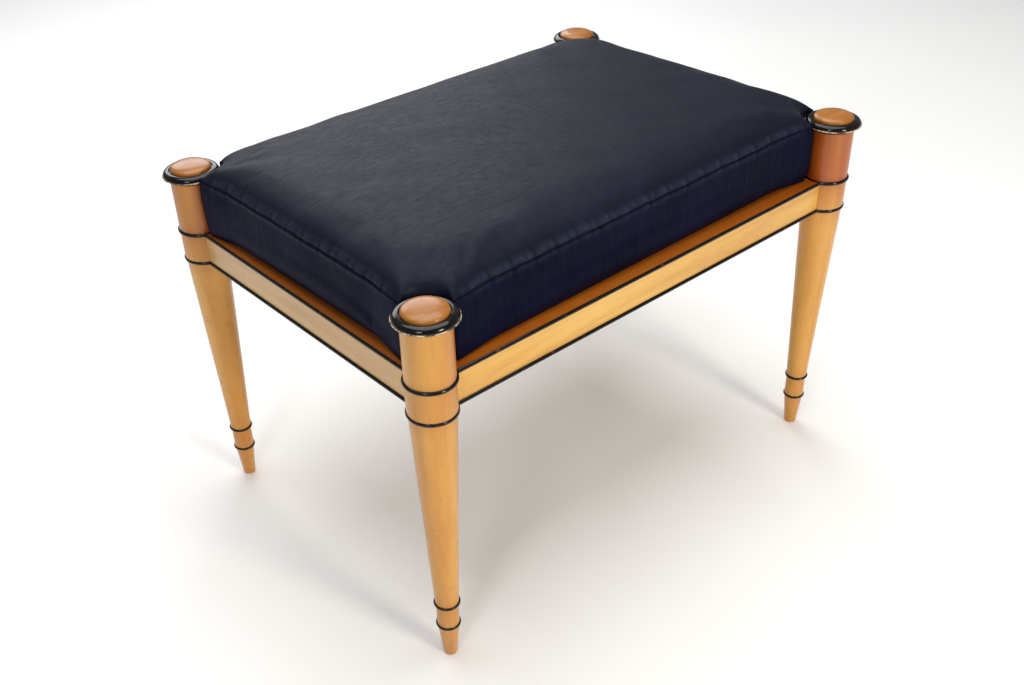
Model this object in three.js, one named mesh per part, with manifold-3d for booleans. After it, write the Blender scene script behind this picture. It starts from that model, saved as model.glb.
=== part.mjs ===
// Upholstered bench on four turned legs. Millimetres, +Z up.
// The origin is on the floor, midway between the legs. +X runs along the long side, +Y to the back.
import * as THREE from "three";
import { mergeVertices } from "three/addons/utils/BufferGeometryUtils.js";
import Module from "manifold-3d";

const wasm = await Module();
wasm.setup();

// ---- Driving dimensions ----
const LEG_SPAN_X = 667; // between leg axes, along the bench
const LEG_SPAN_Y = 464; // between leg axes, front to back
const GAP = 0.3; // between pieces that touch
const TURNED_SIDES = 24; // facets round a turned piece

const FOOT_R = 8.5; // leg end on the floor
const FOOT_CHAMFER = 1.5;
const FOOT_TOP_R = 12.8; // just below the lower ankle ring
const ANKLE_R = 13.4; // between the ankle rings
const TAPER_BOTTOM_R = 14.1;
const TAPER_TOP_R = 26.3;
const POST_R = 27.4; // straight post, from the lower rail ring up
const POST_TOP_Z = 471.5;
// Turned half-round rings: centre height, outer radius and half height.
const ANKLE_LOW_RING = { z: 50, r: 15, half: 2 };
const ANKLE_HIGH_RING = { z: 84, r: 16, half: 2 };
const RAIL_LOW_RING = { z: 363.4, r: 28.8, half: 2.5 };
const RAIL_HIGH_RING = { z: 403.4, r: 29.8, half: 2.5 };
const RING_STEPS = 4;

const COLLAR_R = 35.5; // rim of the saucer-shaped collar on each post
const COLLAR_RIM_Z = 476.3; // underside of the rim
const COLLAR_RIM = 1; // rim thickness
const COLLAR_TOP_Z = 483.6;
const COLLAR_SEAT_Z = 481; // recess that the button sits in
const BUTTON_R = 25.9;
const BUTTON_EDGE_Z = 484.4;
const BUTTON_TOP_Z = 490;
const SPIGOT_R = 10; // peg turned under the button, glued down into the post
const SPIGOT_BOTTOM_Z = 452;

const RAIL_TOP_Z = 404.6;
const RAIL_BOTTOM_Z = 361.6;
const RAIL_FACE = 9.6; // outer face, outward of the leg axes
const RAIL_THICKNESS = 38;
const BEAD_PROUD = 2.4; // black bead strip, out from the rail's face
const BEAD_HALF = 2.5; // half its height
const TENON_THICKNESS = 10;
const TENON_HEIGHT = 26;
const TENON_END = 15.5; // the tenon stops this far from the leg axis

const BLOCK_REACH = 62; // corner block, along each rail from the inner corner
const BLOCK_CUT = 10; // its clipped corner
const BLOCK_BOTTOM_Z = 371;
const BLOCK_TOP_Z = 401;
const SCREW_AT = 40; // screw from the inner corner, along the rail
const SCREW_R = 2;
const SCREW_HEAD_R = 4.2;
const SCREW_HEAD = 2.6;
const SCREW_SEAT = 13; // underside of its head, from the rail
const SCREW_INTO_RAIL = 14;
const SCREW_SIDES = 10;

const SEAT_HALF_X = 340; // widest outline of the cushion
const SEAT_HALF_Y = 228;
const SEAT_SHIFT_X = -1.5; // the loose seat lies a little off centre
const SEAT_SHIFT_Y = -2;
const SEAT_TURN = THREE.MathUtils.degToRad(0.6); // and slightly turned
const SEAT_NOTCH_R = 38; // hollow round each post, clear of the collar
const SEAT_BOTTOM_Z = 405.2;
const SEAM_Z = 482; // top edge of the boxing
const TUCK_BOTTOM = 16.5; // how far the boxing pulls in at its lower edge
const TUCK_TOP = 2; // and at the seam
const BULGE_POWER = 2.6;
const SEAT_LEVELS = 6; // bands up the boxing
const CROWN = 20; // rise of the top panel above the seam
const CROWN_POWER = 4;
const COVER_THICKNESS = 1.5;
const BOARD_INSET = 19; // seat board's edge, inside the widest outline
const BOARD_THICKNESS = 12;
const DUST_CLOTH = 0.8;
const DUST_CLOTH_INSET = 20.5;

// Heights and places that follow from them.
const railInside = RAIL_THICKNESS - RAIL_FACE; // inner face, inward of the leg axes
const railMiddle = railInside - RAIL_THICKNESS / 2;
const tenonZ = (RAIL_TOP_Z + RAIL_BOTTOM_Z) / 2;
const screwZ = (BLOCK_TOP_Z + BLOCK_BOTTOM_Z) / 2;
const dustClothZ = RAIL_TOP_Z + GAP;
const boardZ = dustClothZ + DUST_CLOTH + GAP;
const boardTopZ = boardZ + BOARD_THICKNESS;

// The four corners in turn round the bench, each with the rail that runs from it to the next.
const QUARTERS = [
  { corner: "front_left", side: "front", x: -LEG_SPAN_X / 2, y: -LEG_SPAN_Y / 2, span: LEG_SPAN_X },
  { corner: "front_right", side: "right", x: LEG_SPAN_X / 2, y: -LEG_SPAN_Y / 2, span: LEG_SPAN_Y },
  { corner: "back_right", side: "back", x: LEG_SPAN_X / 2, y: LEG_SPAN_Y / 2, span: LEG_SPAN_X },
  { corner: "back_left", side: "left", x: -LEG_SPAN_X / 2, y: LEG_SPAN_Y / 2, span: LEG_SPAN_Y },
];

// ---- Materials ----
const finish = (color, roughness, metalness = 0) => () =>
  new THREE.MeshStandardMaterial({ color, roughness, metalness });
const honeyWood = finish(0xc98d43, 0.32);
const ebonisedWood = finish(0x0d0b0b, 0.15);
const plainWood = finish(0xb08b5c, 0.7);
const plywood = finish(0xbd9a68, 0.75);
const navyCloth = finish(0x1b1f2c, 0.6);
const paleFoam = finish(0xd9cfa8, 0.95);
const blackCloth = finish(0x17171a, 0.95);
const screwSteel = finish(0xa9a59c, 0.4, 0.9);

// ---- Helpers ----
function add(parent, name, geometry, material) {
  const mesh = new THREE.Mesh(geometry, material());
  mesh.name = name;
  parent.add(mesh);
}

/** A closed geometry as a solid that can be joined and cut. */
function toSolid(geometry) {
  const bare = geometry.clone();
  bare.deleteAttribute("normal");
  bare.deleteAttribute("uv");
  const merged = mergeVertices(bare);
  const corners = merged.index.array;
  const triangles = [];
  for (let i = 0; i < corners.length; i += 3) {
    const [a, b, c] = corners.slice(i, i + 3);
    if (a !== b && b !== c && c !== a) triangles.push(a, b, c);
  }
  const vertProperties = merged.attributes.position.array;
  return new wasm.Manifold(new wasm.Mesh({ numProp: 3, vertProperties, triVerts: new Uint32Array(triangles) }));
}

function toGeometry(solid) {
  const mesh = solid.getMesh();
  return closedGeometry(mesh.vertProperties, mesh.triVerts);
}

function closedGeometry(positions, triangles) {
  const geometry = new THREE.BufferGeometry();
  geometry.setAttribute("position", new THREE.BufferAttribute(new Float32Array(positions), 3));
  geometry.setIndex(new THREE.BufferAttribute(new Uint32Array(triangles), 1));
  return geometry;
}

/** The first geometry with all the others cut away. */
function cut(geometry, ...tools) {
  return toGeometry(tools.reduce((solid, tool) => solid.subtract(toSolid(tool)), toSolid(geometry)));
}

/** Revolves [radius, height] points about Z. */
function turned(points, sides = TURNED_SIDES) {
  const profile = points.map(([radius, height]) => new THREE.Vector2(radius, height));
  return new THREE.LatheGeometry(profile, sides).rotateX(Math.PI / 2);
}

/** A round bar about Z, from one height to another. */
function rod(radius, bottom, top, sides = TURNED_SIDES) {
  return turned([[0, bottom], [radius, bottom], [radius, top], [0, top]], sides);
}

/** A box from its lowest to its highest corner. */
function box(low, high) {
  const size = high.map((value, axis) => value - low[axis]);
  const centre = high.map((value, axis) => (value + low[axis]) / 2);
  return new THREE.BoxGeometry(...size).translate(...centre);
}

/** A flat [x, y] outline raised from one height to another. */
function plate(outline, bottom, top) {
  const shape = new THREE.Shape(outline.map(([x, y]) => new THREE.Vector2(x, y)));
  return new THREE.ExtrudeGeometry(shape, { depth: top - bottom, bevelEnabled: false }).translate(0, 0, bottom);
}

/** A [y, z] section drawn out along X. */
function bar(section, from, to) {
  return plate(section, from, to).rotateX(Math.PI / 2).rotateZ(Math.PI / 2);
}

function arc(cx, cy, radius, from, to, steps) {
  return Array.from({ length: steps + 1 }, (_, i) => {
    const angle = THREE.MathUtils.lerp(from, to, i / steps);
    return [cx + radius * Math.cos(angle), cy + radius * Math.sin(angle)];
  });
}

const swapXY = ([x, y, z]) => [y, x, z];

// ---- Frame ----
// Each piece of a quarter is drawn with its leg's axis at the origin, its own rail running along +X
// with its face to -Y, and the rail before it running along +Y with its face to -X.

/** A turned ring between a radius below it and a radius above it. */
function ring({ z, r, half }, below, above) {
  return Array.from({ length: RING_STEPS + 1 }, (_, i) => {
    const angle = THREE.MathUtils.lerp(-Math.PI / 2, Math.PI / 2, i / RING_STEPS);
    const base = angle < 0 ? below : above;
    return [base + (r - base) * Math.cos(angle), z + half * Math.sin(angle)];
  });
}

/** Lowest and highest corners of the tenon of the rail along +X, grown by a clearance for its mortise. */
function tenonCorners(clearance) {
  const across = TENON_THICKNESS / 2 + clearance;
  const up = TENON_HEIGHT / 2 + clearance;
  return [
    [TENON_END - clearance, railMiddle - across, tenonZ - up],
    [POST_R + 2, railMiddle + across, tenonZ + up],
  ];
}

/** Leg and post in one turning, bored for the button's spigot and mortised for two rails. */
function leg() {
  const turning = turned([
    [0, 0],
    [FOOT_R - FOOT_CHAMFER, 0],
    [FOOT_R, FOOT_CHAMFER],
    ...ring(ANKLE_LOW_RING, FOOT_TOP_R, ANKLE_R),
    ...ring(ANKLE_HIGH_RING, ANKLE_R, TAPER_BOTTOM_R),
    ...ring(RAIL_LOW_RING, TAPER_TOP_R, POST_R),
    ...ring(RAIL_HIGH_RING, POST_R, POST_R),
    [POST_R, POST_TOP_Z],
    [SPIGOT_R + GAP, POST_TOP_Z],
    [SPIGOT_R + GAP, SPIGOT_BOTTOM_Z - GAP],
    [0, SPIGOT_BOTTOM_Z - GAP],
  ]);
  const [low, high] = tenonCorners(GAP);
  return cut(turning, box(low, high), box(swapXY(low), swapXY(high)));
}

/** Black saucer with a thin rim, a swelling top and a recess for the button. */
function collar() {
  const bore = SPIGOT_R + GAP;
  const bottom = POST_TOP_Z + GAP;
  const swellR = COLLAR_R - 0.8;
  const profile = [
    [bore, bottom],
    [POST_R, bottom],
    [COLLAR_R, COLLAR_RIM_Z],
    [COLLAR_R, COLLAR_RIM_Z + COLLAR_RIM],
    [swellR, COLLAR_RIM_Z + COLLAR_RIM],
    [swellR - 0.4, COLLAR_TOP_Z - 2.4],
    [swellR - 3, COLLAR_TOP_Z - 0.4],
    [swellR - 6, COLLAR_TOP_Z],
    [BUTTON_R + GAP, COLLAR_TOP_Z - 1],
    [BUTTON_R + GAP, COLLAR_SEAT_Z],
    [bore, COLLAR_SEAT_Z],
  ];
  return turned([...profile, profile[0]]);
}

/** Low wooden dome on top of a post, with its spigot. */
function button() {
  const domeSteps = 4;
  const dome = Array.from({ length: domeSteps + 1 }, (_, i) => {
    const angle = (i / domeSteps) * (Math.PI / 2);
    return [BUTTON_R * Math.cos(angle), THREE.MathUtils.lerp(BUTTON_EDGE_Z, BUTTON_TOP_Z, Math.sin(angle))];
  });
  const seat = COLLAR_SEAT_Z + GAP;
  dome[domeSteps][0] = 0;
  return turned([[0, SPIGOT_BOTTOM_Z], [SPIGOT_R, SPIGOT_BOTTOM_Z], [SPIGOT_R, seat], [BUTTON_R, seat], ...dome]);
}

/** Clearance round both legs' ring, for a piece that runs from leg to leg. */
function ringClearances({ z, r, half }, span) {
  const clear = () => rod(r + GAP, z - half - GAP, z + half + GAP);
  return [clear(), clear().translate(span, 0, 0)];
}

/** A screw's hole across the rail along +X, at a distance along it. */
function screwHole(along) {
  const hole = rod(SCREW_R + GAP, 0, SCREW_INTO_RAIL + 2 * GAP, SCREW_SIDES).rotateX(Math.PI / 2);
  return hole.translate(along, railInside + GAP, 0).translate(0, 0, screwZ);
}

/** Rail scribed round both posts, mitred behind them and tenoned into them. */
function rail(span) {
  const scribeR = POST_R + GAP;
  const scribe = arc(0, 0, scribeR, -Math.asin(RAIL_FACE / scribeR), Math.PI / 4 - GAP / scribeR, 8);
  const start = [...scribe, [railInside + GAP, railInside]];
  const end = start.map(([x, y]) => [span - x, y]).reverse();
  const [low, high] = tenonCorners(0);
  const tenon = box(low, high);
  const farTenon = box([span - high[0], low[1], low[2]], [span - low[0], high[1], high[2]]);
  const joined = toSolid(plate([...start, ...end], RAIL_BOTTOM_Z, RAIL_TOP_Z))
    .add(toSolid(tenon))
    .add(toSolid(farTenon));
  const screwAlong = railInside + SCREW_AT;
  return cut(
    toGeometry(joined),
    ...ringClearances(RAIL_HIGH_RING, span),
    ...ringClearances(RAIL_LOW_RING, span),
    screwHole(screwAlong),
    screwHole(span - screwAlong),
  );
}

/** Half-round black bead along the rail's face, level with a ring and butted to it at both ends. */
function railBead(level, span) {
  const section = Array.from({ length: 2 * RING_STEPS + 1 }, (_, i) => {
    const angle = THREE.MathUtils.lerp(-Math.PI / 2, Math.PI / 2, i / (2 * RING_STEPS));
    return [-RAIL_FACE - GAP - BEAD_PROUD * Math.cos(angle), level.z + BEAD_HALF * Math.sin(angle)];
  });
  return cut(bar(section, RAIL_FACE, span - RAIL_FACE), ...ringClearances(level, span));
}

/** Triangular block glued and screwed into the inner corner of two rails. */
function cornerBlock() {
  const near = railInside + GAP;
  const short = railInside + BLOCK_CUT;
  const long = railInside + BLOCK_REACH;
  const outline = [[short, near], [long, near], [near, long], [near, short]];
  const along = railInside + SCREW_AT;
  const shank = () => rod(SCREW_R + GAP, -railInside - BLOCK_REACH, 0, SCREW_SIDES);
  const pocket = () => rod(SCREW_HEAD_R + GAP, -railInside - BLOCK_REACH, -railInside - SCREW_SEAT, SCREW_SIDES);
  const intoFirst = [shank(), pocket()].map((hole) => hole.rotateX(Math.PI / 2).translate(along, 0, screwZ));
  const intoSecond = [shank(), pocket()].map((hole) => hole.rotateY(-Math.PI / 2).translate(0, along, screwZ));
  return cut(plate(outline, BLOCK_BOTTOM_Z, BLOCK_TOP_Z), ...intoFirst, ...intoSecond);
}

/** Round-headed screw, its head's underside at the origin and its point to -Z. */
function screw() {
  const length = SCREW_SEAT + SCREW_INTO_RAIL;
  return turned(
    [
      [0, -length],
      [SCREW_R, SCREW_R - length],
      [SCREW_R, GAP],
      [SCREW_HEAD_R, GAP],
      [SCREW_HEAD_R * 0.8, SCREW_HEAD * 0.8],
      [0, SCREW_HEAD],
    ],
    SCREW_SIDES,
  );
}

function addQuarter(bench, { corner, side, x, y, span }, index) {
  const quarter = new THREE.Group();
  quarter.position.set(x, y, 0);
  quarter.rotation.z = (index * Math.PI) / 2;
  bench.add(quarter);
  add(quarter, `leg_${corner}`, leg(), honeyWood);
  add(quarter, `post_collar_${corner}`, collar(), ebonisedWood);
  add(quarter, `post_button_${corner}`, button(), honeyWood);
  add(quarter, `rail_${side}`, rail(span), honeyWood);
  add(quarter, `rail_bead_${side}_top`, railBead(RAIL_HIGH_RING, span), ebonisedWood);
  add(quarter, `rail_bead_${side}_bottom`, railBead(RAIL_LOW_RING, span), ebonisedWood);
  add(quarter, `corner_block_${corner}`, cornerBlock(), plainWood);
  const along = railInside + SCREW_AT;
  const headAt = railInside + SCREW_SEAT;
  const intoFirst = screw().rotateX(-Math.PI / 2).translate(along, headAt, screwZ);
  const intoSecond = screw().rotateY(Math.PI / 2).translate(headAt, along, screwZ);
  add(quarter, `block_screw_${corner}_1`, intoFirst, screwSteel);
  add(quarter, `block_screw_${corner}_2`, intoSecond, screwSteel);
}

// ---- Seat ----
// Drawn about the seat's own middle. Its hollows follow the posts, wherever the seat lies.
const seatPosts = QUARTERS.map(({ x, y }) =>
  new THREE.Vector2(x - SEAT_SHIFT_X, y - SEAT_SHIFT_Y).rotateAround(new THREE.Vector2(), -SEAT_TURN),
);

/** The seat's outline, counter-clockwise, at a distance inside its widest outline. */
function seatOutline(inset) {
  const halfX = SEAT_HALF_X - inset;
  const halfY = SEAT_HALF_Y - inset;
  const notchR = SEAT_NOTCH_R + inset;
  const notchSteps = 6;
  const sideSteps = 5;
  const corners = seatPosts.map((post) => {
    const sx = Math.sign(post.x);
    const sy = Math.sign(post.y);
    const reachX = Math.sqrt(notchR ** 2 - (sy * halfY - post.y) ** 2);
    const reachY = Math.sqrt(notchR ** 2 - (sx * halfX - post.x) ** 2);
    const onLongSide = new THREE.Vector2(post.x - sx * reachX, sy * halfY);
    const onShortSide = new THREE.Vector2(sx * halfX, post.y - sy * reachY);
    const [first, last] = sx === sy ? [onShortSide, onLongSide] : [onLongSide, onShortSide];
    const from = first.clone().sub(post).angle();
    const to = last.clone().sub(post).angle();
    return arc(post.x, post.y, notchR, from, to > from ? to - 2 * Math.PI : to, notchSteps);
  });
  return corners.flatMap((corner, i) => {
    const [fromX, fromY] = corner[notchSteps];
    const [toX, toY] = corners[(i + 1) % corners.length][0];
    const side = Array.from({ length: sideSteps - 1 }, (_, k) => {
      const part = (k + 1) / sideSteps;
      return [THREE.MathUtils.lerp(fromX, toX, part), THREE.MathUtils.lerp(fromY, toY, part)];
    });
    return [...corner, ...side];
  });
}

/** How far the boxing pulls in at a height. */
function tuck(z) {
  const side = (2 * (z - SEAT_BOTTOM_Z)) / (SEAM_Z - SEAT_BOTTOM_Z) - 1;
  const most = side < 0 ? TUCK_BOTTOM : TUCK_TOP;
  return most * Math.min(1, Math.abs(side)) ** BULGE_POWER;
}

/** The crowned cushion, shrunk by an offset all over and flat below. */
function cushion(offset, bottom) {
  const topScales = [0.94, 0.82, 0.62, 0.34];
  const seam = SEAM_Z - offset;
  const levels = Array.from({ length: SEAT_LEVELS }, (_, i) =>
    THREE.MathUtils.lerp(SEAT_BOTTOM_Z, SEAM_Z, i / SEAT_LEVELS),
  );
  const heights = [bottom, ...levels.filter((z) => z > bottom), seam];
  const rise = (x, y) =>
    CROWN * (1 - Math.abs(x / SEAT_HALF_X) ** CROWN_POWER) * (1 - Math.abs(y / SEAT_HALF_Y) ** CROWN_POWER);
  const rings = heights.map((z) =>
    seatOutline(tuck(z) + offset).map(([x, y]) => [x, y, z < seam ? z : z + rise(x, y)]),
  );
  const edge = seatOutline(TUCK_TOP + offset);
  for (const scale of topScales) {
    rings.push(edge.map(([x, y]) => [x * scale, y * scale, seam + rise(x * scale, y * scale)]));
  }
  const count = edge.length;
  const positions = [...rings.flat(2), 0, 0, bottom, 0, 0, seam + rise(0, 0)];
  const bottomCentre = rings.length * count;
  const topCentre = bottomCentre + 1;
  const triangles = [];
  for (let j = 0; j < count; j += 1) {
    const next = (j + 1) % count;
    triangles.push(bottomCentre, next, j);
    for (let i = 0; i + 1 < rings.length; i += 1) {
      const low = i * count;
      const high = low + count;
      triangles.push(low + j, low + next, high + next, low + j, high + next, high + j);
    }
    const last = (rings.length - 1) * count;
    triangles.push(last + j, last + next, topCentre);
  }
  return closedGeometry(positions, triangles);
}

function addSeat(bench) {
  const seat = new THREE.Group();
  seat.position.set(SEAT_SHIFT_X, SEAT_SHIFT_Y, 0);
  seat.rotation.z = SEAT_TURN;
  bench.add(seat);
  const openBelow = SEAT_BOTTOM_Z - BOARD_THICKNESS;
  add(seat, "seat_cover", cut(cushion(0, SEAT_BOTTOM_Z), cushion(COVER_THICKNESS, openBelow)), navyCloth);
  add(seat, "seat_foam", cushion(COVER_THICKNESS + GAP, boardTopZ + GAP), paleFoam);
  add(seat, "seat_board", plate(seatOutline(BOARD_INSET), boardZ, boardTopZ), plywood);
  add(seat, "dust_cloth", plate(seatOutline(DUST_CLOTH_INSET), dustClothZ, dustClothZ + DUST_CLOTH), blackCloth);
}

const bench = new THREE.Group();
QUARTERS.forEach((quarter, index) => addQuarter(bench, quarter, index));
addSeat(bench);

export default bench;
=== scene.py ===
"""Looks of the upholstered bench: camera, studio, materials, fine turned pieces and the padded seat.

Lengths are in metres."""

import math

import bpy
import numpy as np
from mathutils import Matrix, Vector
from mathutils.geometry import delaunay_2d_cdt


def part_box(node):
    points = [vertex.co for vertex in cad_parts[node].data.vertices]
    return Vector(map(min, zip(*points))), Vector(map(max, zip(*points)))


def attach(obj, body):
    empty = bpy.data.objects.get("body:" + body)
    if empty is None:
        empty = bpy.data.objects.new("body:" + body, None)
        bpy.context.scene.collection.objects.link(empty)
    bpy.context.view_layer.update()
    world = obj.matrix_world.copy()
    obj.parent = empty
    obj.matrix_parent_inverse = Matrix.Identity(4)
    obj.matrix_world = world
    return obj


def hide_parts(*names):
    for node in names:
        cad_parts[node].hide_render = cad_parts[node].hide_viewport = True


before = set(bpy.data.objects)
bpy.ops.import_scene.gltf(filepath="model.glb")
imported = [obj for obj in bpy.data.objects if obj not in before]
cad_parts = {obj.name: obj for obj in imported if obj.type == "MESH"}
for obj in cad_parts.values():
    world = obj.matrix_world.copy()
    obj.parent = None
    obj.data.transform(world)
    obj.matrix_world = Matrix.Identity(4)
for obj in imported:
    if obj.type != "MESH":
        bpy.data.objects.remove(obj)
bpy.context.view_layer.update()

CORNERS = ("front_left", "front_right", "back_right", "back_left")
SIDES = ("front", "right", "back", "left")

# ---- Camera ----
CAMERA_AT = (-0.8941, -0.9964, 1.0708)
CAMERA_YAW = math.radians(39.145)  # from +Y towards +X
CAMERA_DOWN = math.radians(34.645)
CAMERA_ROLL = math.radians(-2.698)
CAMERA_LENS_MM = 40.24
CAMERA_SENSOR_MM = 36.0
CAMERA_SHIFT = (0.0344, 0.0223)

# ---- Turned pieces, as in the CAD ----
TURNED_SIDES = 96
FOOT_R = 0.0085
FOOT_TOP_R = 0.0128
ANKLE_R = 0.0134
TAPER_BOTTOM_R = 0.0141
TAPER_TOP_R = 0.0263
POST_R = 0.0274
POST_TOP_Z = 0.4715
SPIGOT_R = 0.010
ANKLE_RINGS = ((0.050, 0.015, FOOT_TOP_R, ANKLE_R), (0.084, 0.016, ANKLE_R, TAPER_BOTTOM_R))
ANKLE_RING_HALF = 0.002
RAIL_RING_HALF = 0.0025
RAIL_LOW_RING_R = 0.0288
RAIL_HIGH_RING_R = 0.0298


def leg_axis(corner):
    low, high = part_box(f"leg_{corner}")
    return Vector(((low.x + high.x) / 2, (low.y + high.y) / 2, 0.0))


def level_of(bead):
    low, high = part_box(bead)
    return (low.z + high.z) / 2


# ---- Node helpers ----
class Nodes:
    """Short way to build a node material."""

    def __init__(self, name):
        self.material = bpy.data.materials.new(name)
        self.material.use_nodes = True
        self.tree = self.material.node_tree
        self.shader = self.tree.nodes["Principled BSDF"]

    def add(self, kind, settings=None, **inputs):
        node = self.tree.nodes.new(kind)
        for key, value in (settings or {}).items():
            setattr(node, key, value)
        for key, value in inputs.items():
            self.feed(node, key, value)
        return node

    def feed(self, node, key, value):
        """Sets an input or links a socket to it. The key is the input's name, or "i" and its number."""
        numbered = key[0] == "i" and key[1:].isdigit()
        socket = node.inputs[int(key[1:]) if numbered else key]
        if isinstance(value, bpy.types.NodeSocket):
            self.tree.links.new(value, socket)
        else:
            socket.default_value = value

    def coords(self, scale, offset=(0, 0, 0), source="Object"):
        place = self.add("ShaderNodeTexCoord")
        return self.add(
            "ShaderNodeMapping", Vector=place.outputs[source], Scale=scale, Location=offset
        ).outputs["Vector"]

    def noise(self, vector, scale, detail=4.0, roughness=0.5, distortion=0.0):
        node = self.add(
            "ShaderNodeTexNoise",
            Vector=vector,
            Scale=scale,
            Detail=detail,
            Roughness=roughness,
            Distortion=distortion,
        )
        return node.outputs["Fac"]

    def ramp(self, value, stops):
        """Colours by value. A stop is a position with a grey or with red, green and blue."""
        node = self.add("ShaderNodeValToRGB", Fac=value)
        elements = node.color_ramp.elements
        while len(elements) < len(stops):
            elements.new(0.5)
        for element, (position, color) in zip(elements, stops):
            element.position = position
            element.color = (*color, 1.0) if isinstance(color, tuple) else (color, color, color, 1.0)
        return node.outputs["Color"]

    def mix(self, blend, factor, first, second):
        """Blends two colours, each a socket or red, green and blue."""
        node = self.add("ShaderNodeMix", {"data_type": "RGBA", "blend_type": blend})
        self.feed(node, "i0", factor)
        for key, color in (("i6", first), ("i7", second)):
            self.feed(node, key, (*color, 1.0) if isinstance(color, tuple) else color)
        return node.outputs[2]

    def math(self, operation, first, second=0.0, third=0.0, clamp=False):
        node = self.add("ShaderNodeMath", {"operation": operation, "use_clamp": clamp})
        for key, value in zip(("i0", "i1", "i2"), (first, second, third)):
            self.feed(node, key, value)
        return node.outputs[0]

    def facing(self, direction, axis):
        """One axis of the surface's "Normal" or "True Normal"."""
        normal = self.add("ShaderNodeNewGeometry").outputs[direction]
        return self.add("ShaderNodeSeparateXYZ", Vector=normal).outputs[axis]

    def attribute(self, name):
        return self.add("ShaderNodeAttribute", {"attribute_name": name}).outputs["Fac"]

    def bump(self, height, strength, distance):
        bump = self.add("ShaderNodeBump", Height=height, Strength=strength, Distance=distance)
        self.feed(self.shader, "Normal", bump.outputs["Normal"])

    def set(self, **values):
        for key, value in values.items():
            self.feed(self.shader, key.replace("_", " "), value)


def rgb(red, green, blue):
    """A colour given as 0-255 screen values, as the shader's linear ones."""
    def linear(value):
        value /= 255
        return value / 12.92 if value <= 0.04045 else ((value + 0.055) / 1.055) ** 2.4
    return (linear(red), linear(green), linear(blue))


# ---- Materials ----
GRAIN = {"X": (1, 14, 14), "Y": (14, 1, 14), "Z": (14, 14, 1)}
WHITE = (1.0, 1.0, 1.0)


def stretched(m, grain, scale, shift):
    """Coordinates in which a texture is drawn out along the grain."""
    return m.coords(tuple(scale * k for k in GRAIN[grain]), shift)


def lacquered_wood(name, grain, seed, pale, mid, dark, painted_top_and_edges=False):
    """Satinwood under lacquer: a soft figure, fine pores along the grain and slow drifts of colour.

    A rail's top is painted darker and redder, as painted shade for the dark cushion it reflects, and its
    rounded edges get a paler painted highlight; other pieces are darker close to their rings and, on a post's
    side by the seat, by painted shade."""
    m = Nodes(name)
    shift = (seed * 1.7, seed * 2.9, seed * 0.8)
    figure = m.noise(stretched(m, grain, 3.0, shift), 1.0, 4.0, 0.5, 0.5)
    pores = m.noise(stretched(m, grain, 30, shift), 1.0, 3.0, 0.6)
    drift = m.noise(m.coords((5, 5, 5), shift), 1.0, 2.0)
    mottle = m.noise(m.coords((46, 46, 46), shift), 1.0, 3.0, 0.6)
    color = m.ramp(figure, [(0.30, dark), (0.5, mid), (0.72, pale)])
    color = m.mix("MULTIPLY", 0.35, color, m.ramp(pores, [(0.34, 0.76), (0.5, 0.97), (0.7, 1.0)]))
    color = m.mix("MULTIPLY", 0.5, color, m.ramp(drift, [(0.3, (0.93, 0.84, 0.70)), (0.7, WHITE)]))
    color = m.mix("MULTIPLY", 0.25, color, m.ramp(mottle, [(0.35, (0.86, 0.78, 0.68)), (0.6, WHITE)]))
    if painted_top_and_edges:
        # Painted shade: a rail's upward face is darker and redder, standing in for the dark cushion it
        # reflects.
        up = m.facing("True Normal", "Z")
        ledge_shade = m.ramp(up, [(0.80, 0.0), (0.97, 1.0)])
        color = m.mix("MULTIPLY", ledge_shade, color, rgb(196, 138, 84))
        # Painted highlight: the rounded edges between the faces are made paler.
        edge_highlight = m.ramp(up, [(0.12, 0.0), (0.3, 1.0), (0.8, 1.0), (0.93, 0.0)])
        color = m.mix("MIX", m.math("MULTIPLY", edge_highlight, 0.5), color, rgb(232, 196, 150))
    else:
        # Darker and redder close to the rings and the floor, and by painted shade on a post's side that faces
        # the seat.
        color = m.mix("MULTIPLY", m.attribute("darkening_and_seat_shade"), color, rgb(190, 108, 56))
    m.set(Base_Color=color)
    m.set(Roughness=m.ramp(mottle, [(0.3, 0.26), (0.7, 0.38)]), IOR=1.45)
    m.set(Coat_Weight=0.2, Coat_Roughness=0.10)
    m.bump(pores, 0.10, 0.0004)
    return m.material


def ebonised_wood():
    """Black gloss lacquer, rubbed through to brown in small spots."""
    m = Nodes("ebonised_wood")
    spots = m.noise(m.coords((90, 90, 90)), 1.0, 5.0, 0.65)
    wear = m.ramp(spots, [(0.60, 0.0), (0.68, 1.0)])
    fine = m.noise(m.coords((420, 420, 420)), 1.0, 2.0)
    color = m.mix("MIX", wear, rgb(12, 8, 8), rgb(74, 38, 24))
    m.set(Base_Color=color, Roughness=m.ramp(spots, [(0.4, 0.07), (0.7, 0.24)]))
    m.set(Specular_IOR_Level=0.3, Coat_Weight=0.12, Coat_Roughness=0.05)
    m.bump(fine, 0.05, 0.0003)
    return m.material


def worn_edge():
    """Pale wood where the black has chipped off a collar's rim."""
    m = Nodes("worn_edge")
    spots = m.noise(m.coords((160, 160, 160)), 1.0, 4.0, 0.6)
    m.set(Base_Color=m.ramp(spots, [(0.42, rgb(60, 48, 44)), (0.56, rgb(205, 186, 160))]))
    m.set(Roughness=0.35)
    m.bump(spots, 0.2, 0.0004)
    return m.material


def cloth_base(name):
    """What the seat's two cloths start from: slow drifts of colour and fine flecks."""
    m = Nodes(name)
    cloud = m.noise(m.coords((8, 13, 8)), 1.0, 5.0, 0.62, 0.4)
    fleck = m.noise(m.coords((260, 260, 260)), 1.0, 3.0, 0.7)
    return m, cloud, fleck


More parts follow.
